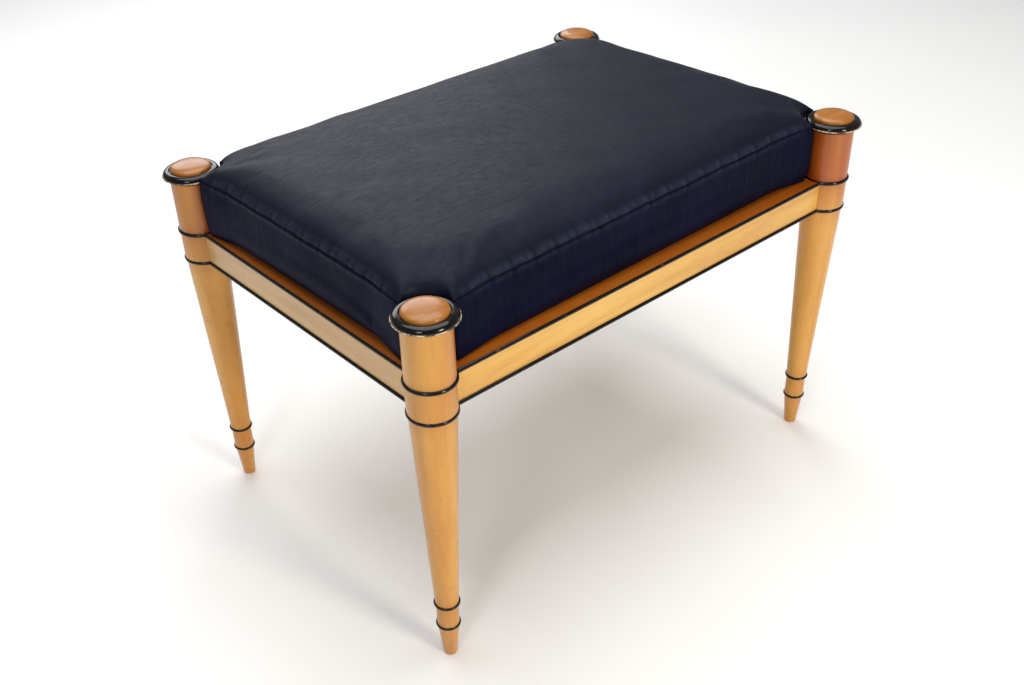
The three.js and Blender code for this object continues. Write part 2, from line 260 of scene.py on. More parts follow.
def finish_cloth(m, color, weave, fleck):
    """Lays the weave and the flecks over a cloth's colour, with a painted sheen on pale bands beside the seam
    and painted shade in its groove and stitch row.
    """
    color = m.mix("OVERLAY", 0.8, color, m.ramp(weave, [(0.32, 0.30), (0.68, 0.66)]))
    color = m.mix("OVERLAY", 0.22, color, m.ramp(fleck, [(0.3, 0.36), (0.7, 0.64)]))
    # Painted sheen: pale bands beside the seam.
    color = m.mix("MIX", m.math("MULTIPLY", m.attribute("seam_sheen"), 0.30), color, rgb(70, 78, 108))
    # Painted shade: near black in the seam's groove and its row of stitches.
    color = m.mix("MIX", m.attribute("seam_shade"), color, rgb(2, 3, 10))
    m.set(Base_Color=color)
    m.bump(m.mix("MIX", 0.3, weave, fleck), 0.50, 0.0006)
    return m.material


def top_cloth():
    """Horsehair satin of the top: a crosswise slub, painted a little lighter and greyer than the boxing for
    the light the top catches, with a soft gloss.
    """
    m, cloud, fleck = cloth_base("seat_cloth_top")
    slub = m.noise(m.coords((24, 560, 24)), 1.0, 3.0, 0.62)
    weft = m.noise(m.coords((760, 40, 40)), 1.0, 2.0, 0.6)
    mottle = m.noise(m.coords((80, 210, 80)), 1.0, 4.0, 0.72)
    weave = m.mix("MIX", 0.55, m.mix("MIX", 0.35, slub, weft), mottle)
    m.set(Roughness=m.ramp(weave, [(0.35, 0.64), (0.65, 0.44)]), Specular_IOR_Level=0.19)
    m.set(Specular_Tint=(0.68, 0.78, 1.0, 1.0))
    m.set(Sheen_Weight=0.03, Sheen_Roughness=0.35, Sheen_Tint=(0.70, 0.76, 1.0, 1.0))
    # Painted light: the top's colour is lighter and greyer than the boxing's.
    return finish_cloth(m, m.ramp(cloud, [(0.30, rgb(8, 10, 23)), (0.70, rgb(17, 19, 34))]), weave, fleck)


def side_cloth():
    """Horsehair satin of the boxing: deep navy, painted darker than the top as shade on the sides, with fine
    upright ribs.
    """
    m, cloud, fleck = cloth_base("seat_cloth_side")
    on_short_side = m.math("GREATER_THAN", m.math("ABSOLUTE", m.facing("Normal", "X")), 0.6)
    ribs_long = m.noise(m.coords((330, 16, 22)), 1.0, 4.0, 0.72)
    ribs_short = m.noise(m.coords((16, 330, 22)), 1.0, 4.0, 0.72)
    weave = m.mix("MIX", on_short_side, ribs_long, ribs_short)
    m.set(Roughness=m.ramp(weave, [(0.3, 0.56), (0.7, 0.44)]), Specular_IOR_Level=0.05)
    m.set(Specular_Tint=(0.55, 0.66, 1.0, 1.0))
    m.set(Sheen_Weight=0.01, Sheen_Roughness=0.35, Sheen_Tint=(0.55, 0.62, 1.0, 1.0))
    # Painted shade: the boxing's colour is darker than the top's.
    return finish_cloth(m, m.ramp(cloud, [(0.30, rgb(5, 7, 25)), (0.70, rgb(13, 16, 42))]), weave, fleck)


def plain_wood(name, grain, pale, dark):
    m = Nodes(name)
    figure = m.noise(m.coords(tuple(6 * k for k in GRAIN[grain])), 1.0, 6.0, 0.6, 0.8)
    m.set(Base_Color=m.ramp(figure, [(0.3, dark), (0.7, pale)]))
    m.set(Roughness=m.ramp(figure, [(0.3, 0.8), (0.7, 0.6)]))
    m.bump(figure, 0.2, 0.0006)
    return m.material


def dust_cloth_fabric():
    m = Nodes("dust_cloth_fabric")
    warp = m.noise(m.coords((900, 60, 60)), 1.0, 2.0)
    weft = m.noise(m.coords((60, 900, 60)), 1.0, 2.0)
    weave = m.mix("MIX", 0.5, warp, weft)
    m.set(Base_Color=m.ramp(weave, [(0.35, rgb(20, 20, 23)), (0.65, rgb(44, 43, 46))]), Roughness=0.92)
    m.bump(weave, 0.3, 0.0005)
    return m.material


def screw_metal():
    m = Nodes("screw_metal")
    brushed = m.noise(m.coords((900, 900, 900)), 1.0, 2.0)
    m.set(Base_Color=m.ramp(brushed, [(0.3, rgb(140, 136, 128)), (0.7, rgb(186, 180, 170))]))
    m.set(Metallic=1.0, Roughness=m.ramp(brushed, [(0.3, 0.28), (0.7, 0.45)]))
    return m.material


def wood_for(name, grain, seed, tone, painted_top_and_edges=False):
    pale, mid, dark = tone
    return lacquered_wood(name, grain, seed, rgb(*pale), rgb(*mid), rgb(*dark), painted_top_and_edges)


HONEY = ((226, 172, 88), (218, 160, 74), (206, 142, 60))
EBONY = ebonised_wood()


# ---- Turned pieces ----
SHARP_ANGLE = math.radians(38)  # edges that turn more than this are shaded as sharp
ROUND_STEPS = 10
TAPER_STEPS = 12
POST_STEPS = 5
COLLAR_UNDER_STEPS = 6
COLLAR_OVER_STEPS = 14
COLLAR_RIM_UP = 0.0045  # from a collar's bottom to its worn rim
COLLAR_RIM_HEIGHT = 0.0012
COLLAR_LIP = 0.0085  # from a collar's rim in to the top of its swell
BUTTON_STEPS = 20
BUTTON_DOME = 0.0062
BUTTON_ROUNDNESS = 2 / 2.7  # 1 would be an ellipse; less is squarer
# Painted shade: the posts are darker on their side that faces the seat, under the cushion; the turned wood is
# also darker close to its rings and the floor.
DARKENING_REACH = 0.004
SEAT_SHADE_FROM_Z = 0.398  # the posts are darkened beside the seat from here up
SEAT_SHADE_FADE = 0.006
# How much of the painted shade beside the seat also goes round a post's outer side.
SEAT_SHADE_ALL_ROUND = {"front_left": 0.0, "front_right": 0.9, "back_right": 0.55, "back_left": 0.55}


def lathe(name, profile, at, materials, sides=TURNED_SIDES):
    """Revolves (radius, z, material index) points about a vertical axis at a place. A point's material is
    that of the band which ends at it. Points with radius 0 close the ends."""
    verts, faces, slots = [], [], []
    rings = []
    for radius, z, _ in profile:
        if radius == 0:
            rings.append([len(verts)])
            verts.append((at.x, at.y, z))
        else:
            rings.append(list(range(len(verts), len(verts) + sides)))
            for here in range(sides):
                angle = 2 * math.pi * here / sides
                verts.append((at.x + radius * math.cos(angle), at.y + radius * math.sin(angle), z))
    closed = profile[0][0] > 0
    pairs = list(zip(range(len(rings) - 1), range(1, len(rings))))
    if closed:
        pairs.append((len(rings) - 1, 0))
    for low, high in pairs:
        first, second = rings[low], rings[high]
        for here in range(sides):
            beside = (here + 1) % sides
            if len(first) == 1:
                face = (first[0], second[beside], second[here])
            elif len(second) == 1:
                face = (first[here], first[beside], second[0])
            else:
                face = (first[here], first[beside], second[beside], second[here])
            faces.append(face)
            slots.append(profile[high][2])
    return mesh_object(name, verts, faces, materials, slots)


def mesh_object(name, verts, faces, materials, slots=None, sharp=SHARP_ANGLE):
    mesh = bpy.data.meshes.new(name)
    mesh.from_pydata(verts, [], faces)
    for material in materials:
        mesh.materials.append(material)
    if slots:
        mesh.polygons.foreach_set("material_index", slots)
    mesh.polygons.foreach_set("use_smooth", [True] * len(mesh.polygons))
    mesh.update()
    if sharp:
        mesh.set_sharp_from_angle(angle=sharp)
    obj = bpy.data.objects.new(name, mesh)
    bpy.context.scene.collection.objects.link(obj)
    return obj


def round_over(r, z, below, above, half, slot):
    """Half-round ring of a radius at a height, between the radii below and above it."""
    points = []
    for i in range(ROUND_STEPS + 1):
        angle = math.pi * (i / ROUND_STEPS - 0.5)
        base = below if angle < 0 else above
        points.append((base + (r - base) * math.cos(angle), z + half * math.sin(angle), slot if i else 0))
    return points


def set_attribute(obj, name, values):
    attribute = obj.data.attributes.new(name, "FLOAT", "POINT")
    attribute.data.foreach_set("value", np.asarray(values, dtype=np.float32))


def darken_and_shade(obj, levels, reach, inner=0.0, all_round=0.0):
    """Darkens the wood close to the given heights and, on a post, paints shade on the side that faces the
    seat, under the cushion.

    All round, from 0 to 1, is the least share of that painted shade on the post's other sides."""
    co = read_points(obj.data)
    near = sum(np.exp(-(((co[:, 2] - level) / reach) ** 2)) for level in levels)
    middle = co[:, :2].mean(0)
    out = co[:, :2] - middle
    facing = -(out @ middle) / np.maximum(np.linalg.norm(out, axis=1), 1e-6) / np.linalg.norm(middle)
    beside = np.clip((co[:, 2] - SEAT_SHADE_FROM_Z) / SEAT_SHADE_FADE, 0, 1) * np.clip(facing + 0.6, all_round, 1)
    set_attribute(obj, "darkening_and_seat_shade", np.clip(0.25 * near + inner * beside, 0, 0.9))


def make_leg(corner, seed):
    low_z = level_of("rail_bead_front_bottom")
    high_z = level_of("rail_bead_front_top")
    profile = [(0, 0, 0), (FOOT_R - 0.0015, 0, 0), (FOOT_R - 0.0004, 0.0005, 0), (FOOT_R, 0.0016, 0)]
    for z, r, below, above in ANKLE_RINGS:
        profile += round_over(r, z, below, above, ANKLE_RING_HALF, 1)
    taper_from = ANKLE_RINGS[1][0] + ANKLE_RING_HALF
    taper_to = low_z - RAIL_RING_HALF
    for i in range(1, TAPER_STEPS):
        part = i / TAPER_STEPS
        radius = TAPER_BOTTOM_R + (TAPER_TOP_R - TAPER_BOTTOM_R) * part
        profile.append((radius, taper_from + (taper_to - taper_from) * part, 0))
    profile += round_over(RAIL_LOW_RING_R, low_z, TAPER_TOP_R, POST_R, RAIL_RING_HALF, 1)
    profile += round_over(RAIL_HIGH_RING_R, high_z, POST_R, POST_R, RAIL_RING_HALF, 1)
    for i in range(1, POST_STEPS):
        profile.append((POST_R, high_z + (POST_TOP_Z - high_z) * i / POST_STEPS, 0))
    profile += [(POST_R, POST_TOP_Z - 0.0006, 0), (POST_R - 0.0006, POST_TOP_Z, 0), (0, POST_TOP_Z, 0)]
    wood = wood_for(f"leg_wood_{corner}", "Z", seed, HONEY)
    obj = lathe(f"turned_leg_{corner}", profile, leg_axis(corner), [wood, EBONY])
    rings = [z for z, *_ in ANKLE_RINGS] + [low_z, high_z]
    # Darker close to the rings and the floor; painted shade on the side facing the seat.
    darken_and_shade(obj, rings + [0.0], DARKENING_REACH, inner=0.85, all_round=SEAT_SHADE_ALL_ROUND[corner])
    finish_piece(obj, "bench_frame", "honey_wood", f"leg_{corner}")


def finish_piece(obj, body, slot, *nodes):
    """Says which body a piece rides on and which nodes of the CAD it replaces. The slot is not used."""
    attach(obj, body)
    if nodes:
        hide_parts(*nodes)


def make_collar(corner, rim):
    low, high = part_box(f"post_collar_{corner}")
    bottom, top = low.z, high.z
    r = (high.x - low.x) / 2
    rim_z = bottom + COLLAR_RIM_UP
    swell = r - 0.0008
    bore = SPIGOT_R + 0.0003
    profile = [(bore, bottom, 0), (POST_R, bottom, 0)]
    for i in range(1, COLLAR_UNDER_STEPS + 1):
        part = i / COLLAR_UNDER_STEPS
        radius = POST_R + (r - 0.0003 - POST_R) * part
        profile.append((radius, bottom + (rim_z - bottom) * part**1.4, 0))
    worn_rim = ((r, 0.0003), (r, 0.0008), (r - 0.0003, 0.0011), (swell, COLLAR_RIM_HEIGHT))
    profile += [(radius, rim_z + up, 1) for radius, up in worn_rim]
    inner = r - COLLAR_LIP
    for i in range(1, COLLAR_OVER_STEPS + 1):
        angle = math.pi / 2 * i / COLLAR_OVER_STEPS
        radius = inner + (swell - inner) * math.cos(angle) ** 0.85
        over = top - rim_z - COLLAR_RIM_HEIGHT
        profile.append((radius, rim_z + COLLAR_RIM_HEIGHT + over * math.sin(angle), 0))
    button_low, button_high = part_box(f"post_button_{corner}")
    recess = (button_high.x - button_low.x) / 2 + 0.0004
    recess_floor = top - 0.0026
    profile += [(recess, top - 0.0008, 0), (recess, recess_floor, 0), (bore, recess_floor, 0)]
    obj = lathe(f"collar_{corner}", profile, leg_axis(corner), [EBONY, rim])
    finish_piece(obj, "bench_frame", "ebonised_wood", f"post_collar_{corner}")


def make_button(corner, seed):
    low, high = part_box(f"post_button_{corner}")
    r = (high.x - low.x) / 2 - 0.0008
    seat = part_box(f"post_collar_{corner}")[1].z - 0.0023
    edge = high.z - BUTTON_DOME
    profile = [(0, low.z, 0), (SPIGOT_R, low.z, 0), (SPIGOT_R, seat, 0)]
    profile += [(r - 0.0004, seat, 0), (r, seat + 0.0006, 0), (r, edge, 0)]
    for i in range(1, BUTTON_STEPS):
        angle = math.pi / 2 * i / BUTTON_STEPS
        radius = r * math.cos(angle) ** BUTTON_ROUNDNESS
        profile.append((radius, edge + (high.z - edge) * math.sin(angle) ** BUTTON_ROUNDNESS, 0))
    profile.append((0, high.z, 0))
    wood = wood_for(f"button_wood_{corner}", "X", seed, ((176, 116, 46), (162, 102, 36), (142, 82, 26)))
    obj = lathe(f"button_{corner}", profile, leg_axis(corner), [wood])
    # Darker close to where the button sits down in the collar.
    darken_and_shade(obj, [seat], 0.0022)
    finish_piece(obj, "bench_frame", "honey_wood", f"post_button_{corner}")


# ---- Rails ----
# Painted light: the front rail is brighter and more golden and the left rail paler, for the way the lamps
# fall on them.
RAIL_TONES_AS_LIT = {
    "front": ((234, 190, 100), (228, 178, 86), (212, 156, 70)),
    "left": ((222, 186, 130), (214, 174, 116), (202, 156, 96)),
    "back": HONEY,
    "right": HONEY,
}
RAIL_BEVEL = 0.0009
BEVEL_ANGLE = math.radians(40)  # edges that turn more than this are rounded
BEAD_STEPS = 120  # along a strip
BEAD_ARC = 10  # round its half circle


def dress_rails():
    for seed, side in enumerate(SIDES):
        grain = "X" if side in ("front", "back") else "Y"
        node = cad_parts[f"rail_{side}"]
        dress(node, wood_for(f"rail_wood_{side}", grain, 11 + seed, RAIL_TONES_AS_LIT[side], painted_top_and_edges=True))
        soften(node, RAIL_BEVEL)


def soften(obj, width):
    bevel = obj.modifiers.new("bevel", "BEVEL")
    bevel.width = width
    bevel.segments = 3
    bevel.limit_method = "ANGLE"
    bevel.angle_limit = BEVEL_ANGLE


def dress(obj, material):
    obj.data.materials.clear()
    obj.data.materials.append(material)


def make_rail_bead(side, edge):
    """Half-round strip along a rail's face, from ring to ring."""
    low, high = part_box(f"rail_bead_{side}_{edge}")
    along = 0 if side in ("front", "back") else 1
    outward = -1 if side in ("front", "left") else 1
    face = (high if outward < 0 else low)[1 - along]
    proud = high[1 - along] - low[1 - along]
    middle = (low.z + high.z) / 2
    half = (high.z - low.z) / 2
    verts = []
    for i in range(BEAD_STEPS + 1):
        place = low[along] + (high[along] - low[along]) * i / BEAD_STEPS
        for k in range(BEAD_ARC + 1):
            angle = math.pi * (k / BEAD_ARC - 0.5)
            out = face + outward * proud * math.cos(angle)
            z = middle + half * math.sin(angle)
            verts.append((place, out, z) if along == 0 else (out, place, z))
    row = BEAD_ARC + 1
    faces = []
    for first in range(0, BEAD_STEPS * row, row):
        for start in range(first, first + BEAD_ARC):
            faces.append((start, start + row, start + row + 1, start + 1))
        faces.append((first + BEAD_ARC, first + BEAD_ARC + row, first + row, first))
    last = BEAD_STEPS * row
    faces.append(tuple(range(row)))
    faces.append(tuple(reversed(range(last, last + row))))
    if (outward > 0) == (along == 0):
        faces = [tuple(reversed(corners)) for corners in faces]
    obj = mesh_object(f"bead_{side}_{edge}", verts, faces, [EBONY])
    finish_piece(obj, "bench_frame", "ebonised_wood", f"rail_bead_{side}_{edge}")


# ---- Seat ----
SEAT_HALF_X = 0.340
SEAT_HALF_Y = 0.228
# Each side's fullest line: how far it is from the middle, and its outward direction in degrees.
SEAT_SIDES = ((0.2315, -89.8), (0.3405, 1.0), (0.2280, 89.6), (0.3425, 180.5))
SEAT_BOTTOM_Z = 0.4056
SEAM_Z = 0.4813
SEAM_TILT = (0.0005, 0.0005)  # rise from the middle to the right end, and to the back
SEAM_TWIST = -0.0013
SIDE_STEP = 0.005
STEPS_LOST = 14  # of a side's steps, to the notches at its ends
NOTCH_STEPS = 16
EAR_GAP = 0.0345  # from a post's axis to the tips beside it, before they are rounded
NOTCH_GAP = 0.0380  # and to the middle of the notch
CLEAR_OF_POST = 0.0364  # no point of the finished skin is nearer to a post's axis
EAR_FADE = (0.043, 0.05)  # from a post's axis to where the sides begin, and on to where they are full
START_SMALLER = 0.003  # how far inside its outline the skin starts, to leave room for the puff
START_FULL = 0.3  # the part of the boxing's height where it starts that much smaller
TUCK_BOTTOM = 0.0125
TUCK_TOP = 0.0025
TUCK_POWER = 2.4
TUCK_AT_EARS = 0.3  # the share of the lower tuck that the ears and notches have
FRONT_SAG = 0.006  # how much less the front's lower edge tucks in, towards its left end
# Rings of the skin under its rim and round its rim: how far in from the tucked edge, how high above
# the underside, and what counts as the distance from the seam, down being negative.
UNDER_RINGS = ((0.034, 0, -0.2), (0.020, 0, -0.18), (0.010, 0, -0.16))
RIM_RINGS = ((0.0035, 0, -0.14), (0.0010, 0.0005, -0.12), (0.0001, 0.0019, -0.1))
UNDER_DISTANCE = -0.25
# Rings of the boxing, by part of its height, then below the seam, then from the seam in over the top.
BOXING_RINGS = (0.05, 0.10, 0.16, 0.23, 0.31, 0.39, 0.47, 0.55, 0.63, 0.70, 0.77, 0.83, 0.88, 0.92)
BELOW_SEAM_RINGS = (0.0042, 0.0022)
TOP_RINGS = (0.0015, 0.0032, 0.0052, 0.0076, 0.0105, 0.014, 0.018, 0.023, 0.029)
# The notches widen faster than a ring moves in, so that their tips never cross.
NOTCH_GROWTH_UNDER = 1.6
NOTCH_GROWTH_TOP = 1.3
SHIFT_FADE = 0.01  # how soon the top's rings forget the seam's own shape
RISE_FULL = 0.004  # the rise of the top comes in over this distance from the seam
TOP_SPACING = 0.0065
UNDER_SPACING = 0.022

EDGE_PUFF = 0.0230
EDGE_ROLL = 0.0125
CROWN = 0.002
CROWN_POWER = 2.6
DENTS = 0.0008

PUFF = 0.0035
PUFF_FRAMES = 20
HELD_HEIGHT = 0.003  # the board holds what is less than this above the underside
SEAM_HOLD = 0.007  # how far from the seam its threads hold the cloth back
CLOTH = {
    "quality": 4,
    "mass": 0.3,
    "tension_stiffness": 20,
    "compression_stiffness": 20,
    "shear_stiffness": 8,
    "bending_stiffness": 0.8,
    "use_pressure": True,
    "uniform_pressure_force": 4.0,
    "vertex_group_mass": "held",
}

STITCH_FADE = (0.046, 0.02)  # as EAR_FADE, for the stitches, which end at the notches
SEAM_WANDER = 0.0006
# Hollows (negative) and ridges along the seam: height, distance from the seam, and width.
SEAM_RELIEF = (
    (-0.0017, 0.0, 0.0012),
    (0.0007, 0.0034, 0.0020),
    (-0.0004, 0.0066, 0.0012),
    (0.0005, -0.0035, 0.002),
)
PUCKERS = 0.0006
SIDE_RIPPLES = 0.0008


def seat_outline(inset, notch_in=None):
    """Points round the seat, counter-clockwise, at a distance inside its widest outline.

    The notches at the posts can be widened by a distance of their own."""
    ear = EAR_GAP + (inset if notch_in is None else notch_in)
    deeper = NOTCH_GAP - EAR_GAP
    corners = []
    for i, corner in enumerate(CORNERS):
        post = np.array(leg_axis(corner)[:2])
        tips = []
        for side, towards in ((i - 1, 1), (i, -1)):
            distance, degrees = SEAT_SIDES[side]
            angle = math.radians(degrees)
            outward = np.array([math.cos(angle), math.sin(angle)])
            along = np.array([-outward[1], outward[0]])
            gap = distance - inset - post @ outward
            tips.append(post + gap * outward - towards * math.sqrt(ear**2 - gap**2) * along)
        start, stop = (math.atan2(*(tip - post)[::-1]) for tip in tips)
        if stop > start:
            stop -= 2 * math.pi
        part = np.linspace(0, 1, NOTCH_STEPS + 1)
        angles = start + (stop - start) * part
        reach = ear + deeper * np.sin(math.pi * part) ** 0.9
        corners.append(np.stack([post[0] + reach * np.cos(angles), post[1] + reach * np.sin(angles)], 1))
    points = []
    for i, corner in enumerate(corners):
        points.append(corner)
        target = corners[(i + 1) % 4][0]
        length = 2 * (SEAT_HALF_X if i % 2 == 0 else SEAT_HALF_Y)
        count = round(length / SIDE_STEP) - STEPS_LOST
        parts = np.linspace(0, 1, count + 1)[1:-1, None]
        points.append(corner[-1] + (target - corner[-1]) * parts)
    return rounded(np.concatenate(points))


def rounded(loop):
    """Rounds the tips of the seat's ears."""
    return 0.5 * loop + 0.25 * (np.roll(loop, 1, 0) + np.roll(loop, -1, 0))


def tuck(height):
    """How far the boxing stands back from its fullest line, by its height from 0 to 1."""
    side = 2 * height - 1
    return (TUCK_BOTTOM if side < 0 else TUCK_TOP) * min(1.0, abs(side)) ** TUCK_POWER


def waves(t, seed, parts):
    """Slow, repeatable ripples, about -1 to 1, from (wavelength, share) pairs."""
    rng = np.random.default_rng(seed)
    total = 0
    for length, share in parts:
        phase = rng.uniform(0, 2 * np.pi)
        total = total + share * np.sin(2 * np.pi * t / length + phase)
    return total / sum(share for _, share in parts)


def seam_height(x, y):
    """Height of the seam, and of the flat surface through it that the top rises from."""
    across, deep = x / SEAT_HALF_X, y / SEAT_HALF_Y
    return SEAM_Z + SEAM_TILT[0] * across + SEAM_TILT[1] * deep + SEAM_TWIST * across * deep


def from_edges(x, y):
    """How far a point of the top is inside the seam, blended smoothly where two edges meet."""
    gaps = []
    for distance, degrees in SEAT_SIDES:
        angle = math.radians(degrees)
        gaps.append(distance - TUCK_TOP - START_SMALLER - x * math.cos(angle) - y * math.sin(angle))
    for corner in CORNERS:
        post = leg_axis(corner)
        gaps.append(np.hypot(x - post.x, y - post.y) - NOTCH_GAP)
    return np.sum(np.maximum(gaps, 1e-4) ** -2, axis=0) ** -0.5


def rise(x, y):
    """Height of the pillowed top over the seam."""
    crown = (1 - np.abs(x / SEAT_HALF_X) ** CROWN_POWER) * (1 - np.abs(y / SEAT_HALF_Y) ** CROWN_POWER)
    across = waves(x + 0.4 * y, 11, ((0.13, 1.0), (0.071, 0.5)))
    along = waves(y - 0.3 * x, 12, ((0.16, 1.0), (0.09, 0.6)))
    edge = EDGE_PUFF * (1 - np.exp(-from_edges(x, y) / EDGE_ROLL))
    return edge + CROWN * np.clip(crown, 0, 1) + DENTS * across * along


def drawn_in(loop, amount):
    """Moves a loop's points inward, square to the loop, all by one amount or each by its own."""
    along = np.roll(loop, -1, 0) - np.roll(loop, 1, 0)
    inward = np.column_stack([-along[:, 1], along[:, 0]]) / np.linalg.norm(along, axis=1)[:, None]
    return loop + inward * np.broadcast_to(amount, len(loop))[:, None]


def fill_loop(loop, spacing):
    """Triangles that fill a closed loop, with points on an even grid inside it."""
    low, high = loop.min(0), loop.max(0)
    rows = np.arange(low[1] + spacing, high[1], spacing * math.sqrt(3) / 2)
    grid = []
    for i, y in enumerate(rows):
        xs = np.arange(low[0] + spacing * (0.5 + 0.5 * (i % 2)), high[0], spacing)
        grid.append(np.stack([xs, np.full(len(xs), y)], 1))
    grid = np.concatenate(grid)
    grid = grid[inside_loop(grid, loop) & (distance_to(grid, loop) > 0.6 * spacing)]
    points = [Vector(p) for p in np.concatenate([loop, grid])]
    count = len(loop)
    edges = [(i, (i + 1) % count) for i in range(count)]
    out, _, faces, originals, _, _ = delaunay_2d_cdt(points, edges, [], 1, 1e-7)
    assert len(out) == len(points), "the loop crosses itself"
    source = [first[0] for first in originals]
    return grid, [tuple(source[v] for v in face) for face in faces]


def distance_to(points, loop):
    """How far each point is from the nearest point of a loop."""
    return np.sqrt(((points[:, None, :] - loop[None, :, :]) ** 2).sum(2)).min(1)


def inside_loop(points, loop):
    """Whether each point is inside: a line from it to the right crosses the loop an odd number of times."""
    x, y = points[:, 0:1], points[:, 1:2]
    ax, ay = loop[:, 0], loop[:, 1]
    bx, by = np.roll(ax, -1), np.roll(ay, -1)
    crosses = (ay > y) != (by > y)
    with np.errstate(divide="ignore", invalid="ignore"):
        at = ax + (y - ay) * (bx - ax) / (by - ay)
    return (np.sum(crosses & (x < at), 1) % 2).astype(bool)


def seat_mesh():
    """The seat's closed skin before it is puffed, and each point's distance from the seam.

    The distance is positive on the top and negative on the boxing and the underside."""
    rings, distances = [], []

    def ring(loop, z, distance):
        rings.append(np.column_stack([loop, np.broadcast_to(z, len(loop))]))
        distances.append(np.full(len(loop), distance))

    widest = seat_outline(0.0)
    on_side = away_from_posts(widest, *EAR_FADE)
    leftward = np.clip(0.5 - widest[:, 0] / (2 * SEAT_HALF_X), 0, 1)
    on_front = np.clip(-20 * widest[:, 1] - 3, 0, 1)  # from 0.15 to 0.20 in front of the middle
    sagging = leftward * on_front

    def tucked(inset):
        """The widest outline, drawn in by an inset that is less at the posts and on the front's left."""
        sag = FRONT_SAG * sagging * inset / TUCK_BOTTOM
        return drawn_in(widest, (TUCK_AT_EARS + (1 - TUCK_AT_EARS) * on_side) * (inset - sag))

    for past, up, distance in UNDER_RINGS:
        notch_in = TUCK_AT_EARS * TUCK_BOTTOM + NOTCH_GROWTH_UNDER * past
        ring(seat_outline(TUCK_BOTTOM + past, notch_in), SEAT_BOTTOM_Z + up, distance)
    for past, up, distance in RIM_RINGS:
        ring(tucked(TUCK_BOTTOM + past), SEAT_BOTTOM_Z + up, distance)
    start = START_SMALLER * on_side
    seam_loop = drawn_in(widest, TUCK_TOP + start)
    # The top's rings are outlines of their own, so the first of them are shifted to meet the seam.
    seam_shift = seam_loop - seat_outline(TUCK_TOP + START_SMALLER, 0.0)
    seam_z = seam_height(*seam_loop.T)
    boxing = SEAM_Z - SEAT_BOTTOM_Z
    for height in BOXING_RINGS:
        inset = tuck(height)
        loop = tucked(inset) if height < 0.5 else drawn_in(widest, inset)
        loop = drawn_in(loop, start * min(1.0, height / START_FULL))
        ring(loop, SEAT_BOTTOM_Z + (seam_z - SEAT_BOTTOM_Z) * height, (height - 1) * boxing)
    for below in BELOW_SEAM_RINGS:
        ring(drawn_in(widest, TUCK_TOP + start - 0.1 * below), seam_z - below, -below)
    ring(seam_loop, seam_z, 0.0)
    for inward in TOP_RINGS:
        loop = seat_outline(TUCK_TOP + START_SMALLER + inward, NOTCH_GROWTH_TOP * inward)
        loop = loop + seam_shift * math.exp(-inward / SHIFT_FADE)
        ring(loop, seam_height(*loop.T) + rise(*loop.T) * min(1.0, inward / RISE_FULL), inward)
    count = len(seam_loop)
    faces = []
    for low in range(0, (len(rings) - 1) * count, count):
        for here in range(count):
            beside = (here + 1) % count
            faces.append((low + here, low + beside, low + count + beside, low + count + here))
    verts = np.concatenate(rings)
    top, triangles = fill_loop(rings[-1][:, :2], TOP_SPACING)
    faces += link(triangles, count, (len(rings) - 1) * count, len(verts))
    verts = np.concatenate([verts, np.column_stack([top, seam_height(*top.T) + rise(*top.T)])])
    under, triangles = fill_loop(rings[0][:, :2], UNDER_SPACING)
    faces += [face[::-1] for face in link(triangles, count, 0, len(verts))]
    verts = np.concatenate([verts, np.column_stack([under, np.full(len(under), SEAT_BOTTOM_Z)])])
    distances += [distance_to(top, seam_loop), np.full(len(under), UNDER_DISTANCE)]
    return verts, faces, np.concatenate(distances)


def link(triangles, loop_count, loop_start, grid_start):
    """Renumbers a filled loop's triangles to the points of the whole mesh."""
    return [
        tuple(v + loop_start if v < loop_count else v - loop_count + grid_start for v in triangle)
        for triangle in triangles
    ]


def read_points(mesh, key="co"):
    values = np.zeros(len(mesh.vertices) * 3, np.float32)
    mesh.vertices.foreach_get(key, values)
    return values.reshape(-1, 3).astype(float)


def write_points(mesh, co):
    mesh.vertices.foreach_set("co", co.astype(np.float32).ravel())
    mesh.update()


def read_values(mesh, name):
    values = np.zeros(len(mesh.vertices), np.float32)
    mesh.attributes[name].data.foreach_get("value", values)
    return values.astype(float)


def puff(obj, cap):
    """Inflates the skin with a cloth simulation, its underside held by the seat board and its seam held back.

    No point moves farther than the cap, and the ears by the posts don't move."""
    rest = read_points(obj.data)
    held = obj.vertex_groups.new(name="held")
    held.add([i for i, co in enumerate(rest) if co[2] < SEAT_BOTTOM_Z + HELD_HEIGHT], 1.0, "REPLACE")
    cloth = obj.modifiers.new("cloth", "CLOTH")
    for key, value in CLOTH.items():
        setattr(cloth.settings, key, value)
    cloth.settings.effector_weights.gravity = 0.0
    cloth.collision_settings.use_collision = False
    scene = bpy.context.scene
    for number in range(1, PUFF_FRAMES + 1):
        scene.frame_set(number)
    moved = read_points(obj.evaluated_get(bpy.context.evaluated_depsgraph_get()).data)
    obj.modifiers.remove(cloth)
    scene.frame_set(1)
    step = moved - rest
    length = np.linalg.norm(step, axis=1)
    allowed = cap * (1 - 0.5 * np.exp(-((read_values(obj.data, "from_seam") / SEAM_HOLD) ** 2)))
    allowed *= away_from_posts(rest, *EAR_FADE)
    step *= (np.minimum(length, allowed) / np.maximum(length, 1e-9))[:, None]
    write_points(obj.data, rest + step)


def subdivide(obj):
    modifier = obj.modifiers.new("subdivide", "SUBSURF")
    modifier.levels = modifier.render_levels = 1
    fine = bpy.data.meshes.new_from_object(obj.evaluated_get(bpy.context.evaluated_depsgraph_get()))
    obj.modifiers.remove(modifier)
    obj.data = fine


def post_distances(co):
    """The four posts' axes, and each point's distance from every one."""
    axes = np.array([leg_axis(corner)[:2] for corner in CORNERS])
    return axes, np.linalg.norm(co[:, None, :2] - axes[None], axis=2)


